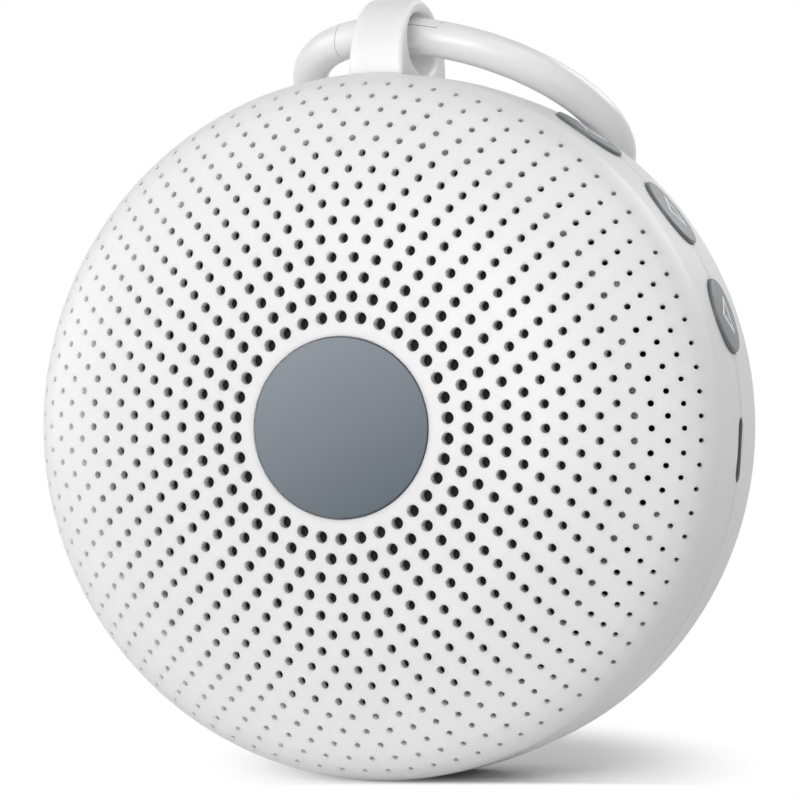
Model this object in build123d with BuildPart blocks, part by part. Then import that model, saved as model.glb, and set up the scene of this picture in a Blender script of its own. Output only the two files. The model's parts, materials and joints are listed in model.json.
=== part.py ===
"""White noise sound machine: a domed speaker case that stands on its rim, with a clip ring on top.

Millimetres, +Z up, front toward -Y. The origin is on the floor, in the middle of the flat that is moulded
under the rear cover's rim. Most pieces are round about the case axis, which runs along Y, so they are drawn
in two kinds of plane: the meridian, with depth behind the seam as x and radius as y, and a plane that faces
the front at some depth, with x to the right and y up.
"""
from build123d import *
from math import asin, cos, degrees, radians, sin, sqrt, tan
import os

os.makedirs("parts", exist_ok=True)

# ---------------------------------------------------------------- case
body_diameter = 100.0      # across the seam
wall = 2.0                 # both covers
band_draft = 0.4           # the front band loses this much radius from seam to crease
crease_depth = 11.55       # from the seam to the crease where the dome starts
crease_slope = 79.5        # degrees, lean of the dome's edge at the crease
shoulder_slope = 32.65     # degrees, lean where the rim arc meets the shoulder arc
rim_arc = 11.6             # radii of the dome's three tangent arcs
shoulder_arc = 44.0
crown_arc = 206.0
rear_depth = 16.3          # from the seam to the flat back
rear_draft = 0.2           # the rear band loses this much radius toward the back
rear_edge_arc = 6.5        # rounding between the rear band and the back
seam_chamfer = 0.15        # breaks both edges of the seam
stand_width = 10.0         # width of the flat under the rim
seam_setback = 4.0         # the seam stands this far in front of the origin

# ---------------------------------------------------------------- fits
slip_gap = 0.15            # round parts that slide, and parts that stand in a recess or an opening
glue_gap = 0.02            # parts that are glued, clamped or screwed in place
pin_gap = 0.06             # a hinge pin in the part that turns on it
part_gap = 0.4             # parts that pass each other without touching

# ---------------------------------------------------------------- grille
hole_rings = 15
straight_rings = 10        # the holes of the rings outside these lean outward
first_ring_radius = 15.2
grille_edge = 2.2          # from the last ring to the seam radius
ring_step_loss = 0.0708    # each step between rings is this much less than the one before
first_ring_holes = 34
holes_added = 4            # more holes in each next ring
first_hole_diameter = 1.7
hole_shrink = 0.075        # each next ring's holes are this much smaller
hole_lean = 12.5           # degrees, how far the outer rings' holes lean from the case axis
hole_overrun = 0.1         # a leaning hole is cut this far past the wall
rib_bore = 3.0             # the first leaning ring's holes end this deep, in the baffle's wall

# ---------------------------------------------------------------- badge and dust cloth
badge_radius = 12.4
badge_thickness = 1.0
badge_edge = 0.15          # rounding of the badge's edge
badge_backing = 1.5        # thickening behind the badge
badge_border = 1.4         # the thickening is this much larger than the badge
cloth_thickness = 0.3

# ---------------------------------------------------------------- baffle and its seat
rib_thickness = 1.7        # round wall inside the dome that the baffle is screwed to
rib_margin = 0.16          # from the edge of the last straight hole to the wall
rib_depth = 16.0           # from the seam to the end of the wall
pad_radius = 2.4           # screw pads beside the wall
pad_angle = 27.0           # degrees, first of four pads
pad_offset = 0.6           # from the wall's outside to the middle of a pad
baffle_seal = 0.5          # foam between the wall and the baffle
baffle_thickness = 1.6

# ---------------------------------------------------------------- speaker
speaker_radius = 25.0
flange_thickness = 1.0
flange_seal = 0.6          # foam between the flange and the baffle
ear_circle = 27.0          # speaker screws
ear_angle = 45.0           # degrees, first of four ears
ear_radius = 2.6
basket_mouth = 21.8        # radius of the basket just behind its flange
basket_base = 14.0         # radius of the basket where it holds the magnet
basket_depth = 8.3         # from the flange's front to the back of the basket
basket_sheet = 0.8
basket_arm_width = 7.0
top_plate_thickness = 1.5
magnet_radius = 15.0
magnet_bore = 8.5
magnet_thickness = 3.5
yoke_thickness = 1.5
pole_radius = 5.8
coil_gap = 0.3             # air on each side of the voice coil
coil_wall = 0.4
coil_length = 8.0
coil_reach = 1.75          # the coil reaches this far behind the top plate
cone_edge = 19.5           # radius where the cone meets the surround
cone_sheet = 0.4
surround_roll = 1.7        # height of the surround's half roll
dust_cap_radius = 7.6
dust_cap_height = 2.5
spider_radius = 12.0
spider_sheet = 0.3

# ---------------------------------------------------------------- screws
screw_radius = 1.0
screw_head_radius = 1.9
screw_head_height = 1.3
screw_cross_length = 2.1
screw_cross_width = 0.5
screw_cross_depth = 0.65
boss_radius = 2.6          # front cover bosses for the case screws
boss_inset = 5.0           # from the case's inner wall to the middle of a case screw
case_screw_angle = 72.0    # degrees, first of four case screws
case_screw_seat = 6.0      # from the seam to the seat of the head
case_screw_length = 12.0
post_radius = 3.2          # rear cover posts round the case screws
standoff_circle = 36.0     # posts that hold the circuit board
standoff_radius = 2.2
short_screw_length = 4.5
baffle_screw_length = 4.0  # ends clear of the grille's holes

# ---------------------------------------------------------------- circuit board and battery
board_thickness = 1.6
board_edge_gap = 3.5       # from the case's inner wall to the board's edge
switch_width = 6.0
switch_length = 3.4        # along the push
switch_height = 3.2        # the switch stands on the board with its plunger on the seam plane
chip_size = 7.0            # the sound chip
small_chip_size = 4.2
chip_height = 0.9
chip_edge = 0.15
chip_left = 12.0           # from the case axis to the chips
chip_low = 9.0
power_coil_size = 4.0
power_coil_height = 2.0
power_coil_edge = 0.8
power_coil_right = 28.8    # from the case axis to the coil
power_coil_low = 18.0
plunger_radius = 0.9
plunger_seat = 1.1         # length of the plunger inside its switch
plunger_travel = 0.3
lip_thickness = 1.2        # lip of the rear cover inside the front cover
lip_height = 1.8
lip_start = 104.0          # degrees, just left of the loop
lip_arc = 232.0            # degrees, down the left side and under the case
battery_width = 42.0
battery_height = 32.0
battery_thickness = 7.0
battery_edge = 1.5
battery_drop = 4.0         # the battery's middle is this far below the case axis
tape_width = 29.4
tape_height = 19.2
tape_thickness = 0.5
fence_height = 3.0         # wall round the battery
fence_thickness = 1.2
socket_width = 6.0         # both lead sockets
socket_depth = 4.5
socket_height = 3.6
speaker_socket_height = 31.0   # above the case axis
battery_socket_height = 23.5   # above the case axis
terminal_thickness = 1.0
terminal_height = 4.3
lead_radius = 0.5
lead_pitch = 2.2
lead_bend_share = 0.45     # of the shortest run, as the radius of a lead's bends

# ---------------------------------------------------------------- buttons and inlet
button_count = 3
first_button_angle = 18.1  # degrees above level
button_pitch = 18.8        # degrees
cap_radius = 5.4
cap_rise = 0.45            # the crown of the cap above the seam radius
cap_crown = 0.2            # how far the cap's face bulges
cap_edge = 0.3             # rounding of the cap's edge
cap_flange_width = 0.8     # flange that keeps the cap in the case
cap_flange_thickness = 0.8
cap_wall = 1.0
stem_radius = 1.6
inlet_angle = -3.65        # degrees, below level
shell_width = 8.94         # metal shell of the charging inlet
shell_height = 3.16
shell_length = 7.35
shell_sheet = 0.25
inlet_recess = 0.9         # the inlet's mouth lies this far inside the seam radius
tongue_width = 6.69
tongue_thickness = 0.7
tongue_length = 4.5
tongue_base = 1.3

# ---------------------------------------------------------------- loop
loop_width = 7.1           # at the top
loop_foot_width = 8.2      # the loop widens toward the flange that holds it
loop_half_depth = 11.3
loop_straight_top = 51.4   # above the case axis
loop_top = 60.9            # above the case axis
loop_eye_center = 54.6     # above the case axis
loop_eye_half_depth = 7.5
loop_eye_half_height = 4.4
loop_edge = 0.75           # rounding of the loop's edges
loop_flange_width = 12.4   # holds the loop inside the case
loop_flange_thickness = 1.5

# ---------------------------------------------------------------- clip ring
ring_radius = 23.58        # middle of the tube
tube_radius = 2.65
ring_rise = 55.95          # above the case axis, where the tube crosses the loop
ring_back = 0.4            # behind the seam, where the tube crosses the loop
ring_heading = 10.2        # degrees, turned to the right
ring_droop = 26.6          # degrees, hanging below level behind the loop
ring_roll = 4.5            # degrees, right side low
gate_tip_angle = 25.0      # degrees round the ring from the loop to the gate's free end
gate_pin_angle = 8.5       # degrees round the ring from the loop to the pin, the other way
knuckle_radius = 3.8       # round ends of the lap joint, about the pin
knuckle_gap = 0.12
lap_height = 0.3           # the lap joint's plane above the ring's middle plane
pin_radius = 1.1
pin_foot = 2.5             # the pin's lower end below the ring's middle plane
pin_head = 1.9             # the pin's upper end above the ring's middle plane
spring_wire = 0.13         # radius of the spring's wire
spring_radius = 1.42
spring_turns = 2
spring_pitch = 0.34
spring_room = 0.15         # round the spring in its pocket

# ---------------------------------------------------------------- worked out from the sizes
seam_radius = body_diameter / 2
inner_radius = seam_radius - wall
axis_height = sqrt(seam_radius**2 - (stand_width / 2) ** 2)
crease_radius = seam_radius - band_draft
rim_center = crease_radius - rim_arc * sin(radians(crease_slope))
shoulder_end = rim_center + rim_arc * sin(radians(shoulder_slope))
shoulder_center = shoulder_end - shoulder_arc * sin(radians(shoulder_slope))
crown_slope = degrees(asin(shoulder_center / (crown_arc - shoulder_arc)))
crown_end = crown_arc * sin(radians(crown_slope))
rim_middle = -crease_depth + rim_arc * cos(radians(crease_slope))
shoulder_middle = rim_middle + (shoulder_arc - rim_arc) * cos(radians(shoulder_slope))
crown_middle = shoulder_middle + (crown_arc - shoulder_arc) * cos(radians(crown_slope))

case_center = Vector(0, -seam_setback, axis_height)
case_axis = Axis(case_center, (0, 1, 0))
meridian = Plane(origin=case_center, x_dir=(0, 1, 0), z_dir=(1, 0, 0))


arc_middle = sin(radians(45))


def facing(depth):
    """The plane that faces the front at this depth behind the seam."""
    return Plane(origin=case_center + Vector(0, depth, 0), x_dir=(1, 0, 0), z_dir=(0, -1, 0))


def outward(angle):
    """The direction from the case axis to the rim at this angle above level, on the right."""
    return Vector(cos(radians(angle)), 0, sin(radians(angle)))


def rim_plane(angle, radius):
    """The plane that looks out of the rim there, with x toward the back and y round the rim."""
    return Plane(origin=case_center + outward(angle) * radius, x_dir=(0, 1, 0), z_dir=outward(angle))


def section_at(angle):
    """The plane that holds the case axis and the rim at this angle, with x toward the back and y outward."""
    return Plane(origin=case_center, x_dir=(0, 1, 0), z_dir=Vector(0, 1, 0).cross(outward(angle)))


def dome_point(slope, inset):
    """The dome's point (depth, radius) where it leans this much, this far under its skin."""
    lean = radians(slope)
    if slope <= crown_slope:
        return (crown_middle - (crown_arc - inset) * cos(lean), (crown_arc - inset) * sin(lean))
    if slope <= shoulder_slope:
        reach = shoulder_arc - inset
        return (shoulder_middle - reach * cos(lean), shoulder_center + reach * sin(lean))
    reach = rim_arc - inset
    return (rim_middle - reach * cos(lean), rim_center + reach * sin(lean))


def dome_curve(inset):
    """The dome's three tangent arcs, this far under its skin, from the axis to the crease."""
    slopes = [0, crown_slope, shoulder_slope, crease_slope]
    for low, high in zip(slopes[:-1], slopes[1:]):
        ends = (dome_point(low, inset), dome_point(high, inset))
        middle = dome_point((low + high) / 2, inset)
        ThreePointArc(ends[0], middle, ends[1])


def dome_depth(radius):
    """How far behind the seam the dome's skin lies at this radius (less than zero)."""
    if radius <= crown_end:
        return crown_middle - sqrt(crown_arc**2 - radius**2)
    if radius <= shoulder_end:
        return shoulder_middle - sqrt(shoulder_arc**2 - (radius - shoulder_center) ** 2)
    return rim_middle - sqrt(rim_arc**2 - (radius - rim_center) ** 2)


def dome_lean(radius):
    """How much the dome's skin leans at this radius, in degrees."""
    if radius <= crown_end:
        return degrees(asin(radius / crown_arc))
    if radius <= shoulder_end:
        return degrees(asin((radius - shoulder_center) / shoulder_arc))
    return degrees(asin((radius - rim_center) / rim_arc))


ring_steps = hole_rings - 1
grille_span = seam_radius - grille_edge - first_ring_radius
first_step = (grille_span + ring_step_loss * ring_steps * (ring_steps - 1) / 2) / ring_steps


def ring_of_holes(number):
    """Radius of a ring of grille holes, counted from 0 at the middle."""
    return first_ring_radius + number * first_step - ring_step_loss * number * (number - 1) / 2


def grille_hole_radius(number):
    """Radius of each hole in that ring."""
    return (first_hole_diameter - hole_shrink * number) / 2


def hole_angles(number):
    """Where that ring's holes are round the case axis; every other ring is turned by half a pitch."""
    count = first_ring_holes + holes_added * number
    turn = 180 / count if number % 2 == 0 else 0
    return [turn + 360 / count * place for place in range(count)]


def leaning_hole_depth(number):
    """How deep that ring's leaning holes are, along the hole."""
    if number == straight_rings:
        return rib_bore
    slant = radians(dome_lean(ring_of_holes(number)) - hole_lean)
    return wall / cos(slant) + grille_hole_radius(number) * tan(slant) + hole_overrun


def leaning_hole_foot(number, angle):
    """The plane across a leaning hole at its inner end."""
    radius = ring_of_holes(number)
    way_out = outward(angle) * sin(radians(hole_lean)) - Vector(0, cos(radians(hole_lean)), 0)
    mouth = case_center + outward(angle) * radius + Vector(0, dome_depth(radius), 0)
    return Plane(origin=mouth - way_out * leaning_hole_depth(number), z_dir=way_out)


boss_circle = inner_radius - boss_inset
last_straight_ring = straight_rings - 1
rib_inner = ring_of_holes(last_straight_ring) + grille_hole_radius(last_straight_ring) + rib_margin
rib_outer = rib_inner + rib_thickness
pad_circle = rib_outer + pad_offset
baffle_front = -rib_depth + baffle_seal
baffle_back = baffle_front + baffle_thickness
flange_back = baffle_front - flange_seal
flange_front = flange_back - flange_thickness
badge_face = dome_depth(badge_radius)
badge_back = badge_face + badge_thickness
backing_radius = badge_radius + badge_border
board_front = switch_height / 2
board_back = board_front + board_thickness
board_radius = inner_radius - board_edge_gap
rear_inside = rear_depth - wall
slot_half_width = loop_foot_width / 2 + slip_gap
slot_half_depth = loop_half_depth + slip_gap / 2
button_angles = [first_button_angle + button_pitch * number for number in range(button_count)]
button_hole_radius = cap_radius + slip_gap


def cut_rim_openings():
    """Cuts what both covers share: the standing flat, the buttons, the inlet and the loop."""
    inside = boss_circle + boss_radius
    with BuildSketch(Plane.XY) as under_the_flat:
        Rectangle(body_diameter, body_diameter)
    extrude(under_the_flat.sketch, amount=-wall, mode=Mode.SUBTRACT)
    for angle in button_angles:
        with BuildSketch(rim_plane(angle, inside)) as button_hole:
            Circle(button_hole_radius)
        extrude(button_hole.sketch, amount=boss_inset + wall, mode=Mode.SUBTRACT)
    with BuildSketch(rim_plane(inlet_angle, inside)) as inlet:
        SlotOverall(shell_width + 2 * slip_gap, shell_height + 2 * slip_gap, rotation=90)
    extrude(inlet.sketch, amount=boss_inset + wall, mode=Mode.SUBTRACT)
    with BuildSketch(rim_plane(90, inside)) as loop_slot:
        Rectangle(2 * slot_half_depth, 2 * slot_half_width)
    extrude(loop_slot.sketch, amount=boss_inset + wall, mode=Mode.SUBTRACT)


# ---------------------------------------------------------------- front cover
with BuildPart() as front_cover:
    # the wall for the baffle, its screw pads, the case bosses and the badge's backing, run past the dome
    with BuildSketch(facing(-rib_depth)):
        Circle(rib_outer)
        with PolarLocations(pad_circle, 4, pad_angle):
            Circle(pad_radius)
        Circle(rib_inner, mode=Mode.SUBTRACT)
    extrude(amount=rib_depth)
    with BuildSketch(facing(0)):
        with PolarLocations(boss_circle, 4, case_screw_angle):
            Circle(boss_radius)
    extrude(amount=2 * rib_depth)
    with BuildSketch(facing(badge_back + badge_backing)):
        Circle(backing_radius)
    extrude(amount=rib_depth)
    # trimmed in the middle of the dome's wall
    with BuildSketch(meridian):
        with BuildLine():
            dome_curve(wall / 2)
            Line(dome_point(crease_slope, wall / 2), (0, inner_radius))
            Line((0, inner_radius), (0, 0))
            Line((0, 0), dome_point(0, wall / 2))
        make_face()
    revolve(axis=case_axis, mode=Mode.INTERSECT)
    # the shell itself
    with BuildSketch(meridian):
        with BuildLine():
            dome_curve(0)
            Line(dome_point(crease_slope, 0), (-seam_chamfer, seam_radius))
            Line((-seam_chamfer, seam_radius), (0, seam_radius - seam_chamfer))
            Line((0, seam_radius - seam_chamfer), (0, inner_radius))
            Line((0, inner_radius), dome_point(crease_slope, wall))
            dome_curve(wall)
            Line(dome_point(0, wall), dome_point(0, 0))
        make_face()
    revolve(axis=case_axis)
    # the badge's recess
    with BuildSketch(facing(badge_back)):
        Circle(badge_radius + slip_gap)
    extrude(amount=crease_depth, mode=Mode.SUBTRACT)
    # threads for the case screws and the baffle screws
    with BuildSketch(facing(0)):
        with PolarLocations(boss_circle, 4, case_screw_angle):
            Circle(screw_radius + glue_gap)
    extrude(amount=case_screw_length - case_screw_seat + part_gap, mode=Mode.SUBTRACT)
    with BuildSketch(facing(-rib_depth)):
        with PolarLocations(pad_circle, 4, pad_angle):
            Circle(screw_radius + glue_gap)
    pad_thread = baffle_screw_length - baffle_thickness - baffle_seal
    extrude(amount=pad_thread + glue_gap, mode=Mode.SUBTRACT)
    cut_rim_openings()
    # the grille: straight holes, then the outer rings' holes, which lean outward
    with BuildSketch(facing(dome_depth(ring_of_holes(straight_rings)))):
        for number in range(straight_rings):
            angles = hole_angles(number)
            with PolarLocations(ring_of_holes(number), len(angles), angles[0]):
                Circle(grille_hole_radius(number))
    extrude(amount=crease_depth, both=True, mode=Mode.SUBTRACT, clean=False)
    for number in range(straight_rings, hole_rings):
        with BuildSketch(*[leaning_hole_foot(number, angle) for angle in hole_angles(number)]):
            Circle(grille_hole_radius(number))
        extrude(amount=leaning_hole_depth(number) + wall, mode=Mode.SUBTRACT, clean=False)
front_cover.part.label = "front_cover"
export_step(front_cover.part, "parts/front_cover.step", write_pcurves=False)

# ---------------------------------------------------------------- badge
with BuildPart() as grille_badge:
    with BuildSketch(facing(badge_back)):
        Circle(badge_radius)
    extrude(amount=badge_thickness)
    fillet(grille_badge.edges().sort_by(Axis.Y)[0], badge_edge)
grille_badge.part.label = "grille_badge"
export_step(grille_badge.part, "parts/grille_badge.step")

# ---------------------------------------------------------------- dust cloth behind the holes
with BuildPart() as dust_cloth:
    with BuildSketch(meridian):
        with BuildLine():
            dome_curve(wall + glue_gap)
            edge_outside = dome_point(crease_slope, wall + glue_gap)
            edge_inside = dome_point(crease_slope, wall + glue_gap + cloth_thickness)
            Line(edge_outside, edge_inside)
            dome_curve(wall + glue_gap + cloth_thickness)
            Line(dome_point(0, wall + glue_gap + cloth_thickness), dome_point(0, wall + glue_gap))
        make_face()
    revolve(axis=case_axis)
    with BuildSketch(facing(0)):
        Circle(rib_inner - slip_gap)
        Circle(backing_radius + slip_gap, mode=Mode.SUBTRACT)
    extrude(amount=2 * rib_depth, mode=Mode.INTERSECT)
dust_cloth.part.label = "dust_cloth"
export_step(dust_cloth.part, "parts/dust_cloth.step")

# ---------------------------------------------------------------- baffle and its foam seal
with BuildPart() as baffle_gasket:
    with BuildSketch(facing(baffle_front)):
        Circle(rib_outer)
        with PolarLocations(pad_circle, 4, pad_angle):
            Circle(pad_radius)
        Circle(rib_inner, mode=Mode.SUBTRACT)
        with PolarLocations(pad_circle, 4, pad_angle):
            Circle(screw_radius + slip_gap, mode=Mode.SUBTRACT)
    extrude(amount=baffle_seal)
baffle_gasket.part.label = "baffle_gasket"
export_step(baffle_gasket.part, "parts/baffle_gasket.step")

with BuildPart() as speaker_baffle:
    with BuildSketch(facing(baffle_back)):
        Circle(rib_outer)
        with PolarLocations(pad_circle, 4, pad_angle):
            Circle(pad_radius)
        with PolarLocations(boss_circle, 4, case_screw_angle):
            Circle(boss_radius + part_gap, mode=Mode.SUBTRACT)
        Circle(basket_mouth + part_gap, mode=Mode.SUBTRACT)
    extrude(amount=baffle_thickness)
    with BuildSketch(facing(baffle_back)):
        with PolarLocations(ear_circle, 4, ear_angle):
            Circle(standoff_radius)
    extrude(amount=-short_screw_length + flange_thickness + flange_seal)
    with BuildSketch(facing(baffle_front)):
        with PolarLocations(ear_circle, 4, ear_angle):
            Circle(screw_radius + glue_gap)
        with PolarLocations(pad_circle, 4, pad_angle):
            Circle(screw_radius + slip_gap)
    extrude(amount=-short_screw_length, mode=Mode.SUBTRACT)
speaker_baffle.part.label = "speaker_baffle"
export_step(speaker_baffle.part, "parts/speaker_baffle.step")


def draw_screws(seat, spots, length):
    """Round-headed screws in the open part: heads seated at this depth, shanks this long toward the front."""
    way = 1 if length > 0 else -1
    with BuildSketch(facing(seat)) as shanks:
        with spots:
            Circle(screw_radius)
    extrude(shanks.sketch, amount=length)
    with BuildSketch(facing(seat)) as heads:
        with spots:
            Circle(screw_head_radius)
    extrude(heads.sketch, amount=-way * screw_head_height)
    with BuildSketch(facing(seat + way * screw_head_height)) as crosses:
        with spots:
            Rectangle(screw_cross_length, screw_cross_width)
            Rectangle(screw_cross_width, screw_cross_length)
    extrude(crosses.sketch, amount=way * screw_cross_depth, mode=Mode.SUBTRACT)


with BuildPart() as baffle_screws:
    draw_screws(baffle_back, PolarLocations(pad_circle, 4, pad_angle), baffle_screw_length)
baffle_screws.part.label = "baffle_screws"
export_step(baffle_screws.part, "parts/baffle_screws.step")

# ---------------------------------------------------------------- speaker
with BuildPart() as speaker_gasket:
    with BuildSketch(facing(baffle_front)):
        Circle(speaker_radius)
        with PolarLocations(ear_circle, 4, ear_angle):
            Circle(ear_radius)
            Circle(screw_radius + part_gap, mode=Mode.SUBTRACT)
        Circle(basket_mouth + part_gap, mode=Mode.SUBTRACT)
    extrude(amount=flange_seal)
speaker_gasket.part.label = "speaker_gasket"
export_step(speaker_gasket.part, "parts/speaker_gasket.step")

basket_back = flange_front + basket_depth
basket_waist = basket_back - basket_sheet
with BuildPart() as speaker_basket:
    with BuildSketch(meridian):
        with BuildLine():
            Polyline(
                (flange_front, basket_mouth - basket_sheet),
                (flange_front, speaker_radius),
                (flange_back, speaker_radius),
                (flange_back, basket_mouth),
                (basket_back, basket_base + basket_sheet),
                (basket_back, magnet_bore),
                (basket_waist, magnet_bore),
                (basket_waist, basket_base),
                (flange_back, basket_mouth - basket_sheet),
                close=True,
            )
        make_face()
    revolve(axis=case_axis)
    with BuildSketch(facing(flange_back)):
        with PolarLocations(ear_circle, 4, ear_angle):
            Circle(ear_radius)
        Circle(speaker_radius - glue_gap, mode=Mode.SUBTRACT)
    extrude(amount=flange_thickness)
    # windows between the basket's four arms
    with BuildSketch(facing(basket_waist - part_gap)):
        Circle(basket_mouth - part_gap)
        Circle(basket_base + part_gap, mode=Mode.SUBTRACT)
        with PolarLocations(0, 4, 0):
            Rectangle(2 * basket_mouth, basket_arm_width, mode=Mode.SUBTRACT)
    extrude(amount=basket_depth - flange_thickness - basket_sheet - 2 * part_gap, mode=Mode.SUBTRACT)
    with BuildSketch(facing(flange_back)):
        with PolarLocations(ear_circle, 4, ear_angle):
            Circle(screw_radius + slip_gap)
    extrude(amount=flange_thickness, mode=Mode.SUBTRACT)
speaker_basket.part.label = "speaker_basket"
export_step(speaker_basket.part, "parts/speaker_basket.step")

coil_inner = pole_radius + coil_gap
coil_outer = coil_inner + coil_wall
plate_back = basket_back + top_plate_thickness
magnet_back = plate_back + magnet_thickness
yoke_back = magnet_back + yoke_thickness
with BuildPart() as speaker_top_plate:
    with BuildSketch(facing(plate_back)):
        Circle(basket_base)
        Circle(coil_outer + coil_gap, mode=Mode.SUBTRACT)
    extrude(amount=top_plate_thickness)
speaker_top_plate.part.label = "speaker_top_plate"
export_step(speaker_top_plate.part, "parts/speaker_top_plate.step")

with BuildPart() as speaker_magnet:
    with BuildSketch(facing(magnet_back)):
        Circle(magnet_radius)
        Circle(magnet_bore, mode=Mode.SUBTRACT)
    extrude(amount=magnet_thickness)
speaker_magnet.part.label = "speaker_magnet"
export_step(speaker_magnet.part, "parts/speaker_magnet.step")

with BuildPart() as speaker_yoke:
    with BuildSketch(facing(yoke_back)):
        Circle(basket_base)
    extrude(amount=yoke_thickness)
    with BuildSketch(facing(magnet_back)):
        Circle(pole_radius)
    extrude(amount=magnet_thickness + top_plate_thickness)
speaker_yoke.part.label = "speaker_yoke"
export_step(speaker_yoke.part, "parts/speaker_yoke.step")

coil_back = plate_back + coil_reach
coil_front = coil_back - coil_length
with BuildPart() as voice_coil:
    with BuildSketch(facing(coil_back)):
        Circle(coil_outer)
        Circle(coil_inner, mode=Mode.SUBTRACT)
    extrude(amount=coil_length)
voice_coil.part.label = "voice_coil"
export_step(voice_coil.part, "parts/voice_coil.step")

cone_front = flange_front
cone_back = coil_front + cone_sheet
with BuildPart() as speaker_cone:
    with BuildSketch(meridian):
        with BuildLine():
            Polyline(
                (cone_back, coil_outer + glue_gap),
                (cone_front, cone_edge - cone_sheet),
                (cone_front, cone_edge + cone_sheet),
                (cone_front + cone_sheet, cone_edge + cone_sheet),
                (cone_back + cone_sheet, coil_outer + glue_gap),
                close=True,
            )
        make_face()
    revolve(axis=case_axis)
speaker_cone.part.label = "speaker_cone"
export_step(speaker_cone.part, "parts/speaker_cone.step")

cone_lean = (cone_front - cone_back) / (cone_edge - cone_sheet - coil_outer - glue_gap)
cap_seat = cone_back + cone_lean * (dust_cap_radius - coil_outer - glue_gap) - glue_gap
with BuildPart() as speaker_dust_cap:
    with BuildSketch(meridian):
        with BuildLine():
            ThreePointArc(
                (cap_seat, -dust_cap_radius), (cap_seat - dust_cap_height, 0), (cap_seat, dust_cap_radius)
            )
            Line((cap_seat, dust_cap_radius), (cap_seat, dust_cap_radius - cone_sheet))
            ThreePointArc(
                (cap_seat, dust_cap_radius - cone_sheet),
                (cap_seat - dust_cap_height + cone_sheet, 0),
                (cap_seat, cone_sheet - dust_cap_radius),
            )
            Line((cap_seat, cone_sheet - dust_cap_radius), (cap_seat, -dust_cap_radius))
        make_face()
        with Locations((0, -body_diameter / 2)):
            Rectangle(body_diameter, body_diameter, mode=Mode.SUBTRACT)
    revolve(axis=case_axis)
speaker_dust_cap.part.label = "speaker_dust_cap"
export_step(speaker_dust_cap.part, "parts/speaker_dust_cap.step")

roll_inner = cone_edge + cone_sheet
roll_outer = basket_mouth - basket_sheet + cone_sheet
roll_middle = (roll_inner + roll_outer) / 2
roll_lip = (speaker_radius - roll_outer) / 2
with BuildPart() as speaker_surround:
    with BuildSketch(meridian):
        with BuildLine():
            seat = flange_front - glue_gap
            top = seat - cone_sheet
            Polyline(
                (seat, roll_inner),
                (seat, cone_edge - cone_sheet),
                (top, cone_edge - cone_sheet),
                (top, roll_inner - cone_sheet),
            )
            ThreePointArc(
                (top, roll_inner - cone_sheet),
                (top - surround_roll, roll_middle),
                (top, roll_outer + cone_sheet),
            )
            Polyline(
                (top, roll_outer + cone_sheet),
                (top, roll_outer + roll_lip),
                (seat, roll_outer + roll_lip),
                (seat, roll_outer),
            )
            ThreePointArc(
                (seat, roll_outer),
                (seat - surround_roll, roll_middle),
                (seat, roll_inner),
            )
        make_face()
    revolve(axis=case_axis)
speaker_surround.part.label = "speaker_surround"
export_step(speaker_surround.part, "parts/speaker_surround.step")

spider_depth = basket_waist - 2 * part_gap
with BuildPart() as speaker_spider:
    with BuildSketch(facing(spider_depth)):
        Circle(spider_radius)
        Circle(coil_outer + glue_gap, mode=Mode.SUBTRACT)
    extrude(amount=spider_sheet)
    # two round folds, and a foot that stands on the basket
    with BuildSketch(facing(spider_depth - spider_sheet)):
        for fold in (1, 2):
            fold_radius = coil_outer + fold * (spider_radius - coil_outer) / 3
            Circle(fold_radius + spider_sheet)
            Circle(fold_radius - spider_sheet, mode=Mode.SUBTRACT)
    extrude(amount=spider_sheet)
    with BuildSketch(facing(basket_waist - glue_gap)):
        Circle(spider_radius)
        Circle(spider_radius - 2 * spider_sheet, mode=Mode.SUBTRACT)
    extrude(amount=2 * part_gap)
speaker_spider.part.label = "speaker_spider"
export_step(speaker_spider.part, "parts/speaker_spider.step")

with BuildPart() as speaker_screws:
    draw_screws(flange_front, PolarLocations(ear_circle, 4, ear_angle), -short_screw_length)
speaker_screws.part.label = "speaker_screws"
export_step(speaker_screws.part, "parts/speaker_screws.step")

# ---------------------------------------------------------------- circuit board and what stands on it
with BuildPart() as circuit_board:
    with BuildSketch(facing(board_back)):
        Circle(board_radius)
        with PolarLocations(boss_circle, 4, case_screw_angle):
            Circle(post_radius + part_gap, mode=Mode.SUBTRACT)
        with PolarLocations(standoff_circle, 4, pad_angle):
            Circle(screw_radius + slip_gap, mode=Mode.SUBTRACT)
    extrude(amount=board_thickness)
circuit_board.part.label = "circuit_board"
export_step(circuit_board.part, "parts/circuit_board.step")

with BuildPart() as board_screws:
    draw_screws(board_front, PolarLocations(standoff_circle, 4, pad_angle), -short_screw_length)
board_screws.part.label = "board_screws"
export_step(board_screws.part, "parts/board_screws.step")

with BuildPart() as sound_chip:
    with BuildSketch(facing(board_front)):
        with Locations((-chip_left, -chip_low)):
            Rectangle(chip_size, chip_size)
    extrude(amount=chip_height)
    chamfer(sound_chip.faces().sort_by(Axis.Y)[0].edges(), chip_edge)
sound_chip.part.label = "sound_chip"
export_step(sound_chip.part, "parts/sound_chip.step")

small_chip_spots = [(chip_left, -chip_low), (chip_left, chip_low), (-chip_left, chip_low)]
with BuildPart() as board_chips:
    with BuildSketch(facing(board_front)):
        with Locations(*small_chip_spots):
            Rectangle(small_chip_size, small_chip_size)
    extrude(amount=chip_height)
board_chips.part.label = "board_chips"
export_step(board_chips.part, "parts/board_chips.step")

with BuildPart() as power_coil:
    with BuildSketch(facing(board_front)):
        with Locations((power_coil_right, -power_coil_low)):
            RectangleRounded(power_coil_size, power_coil_size, power_coil_edge)
    extrude(amount=power_coil_height)
power_coil.part.label = "power_coil"
export_step(power_coil.part, "parts/power_coil.step")

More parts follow.
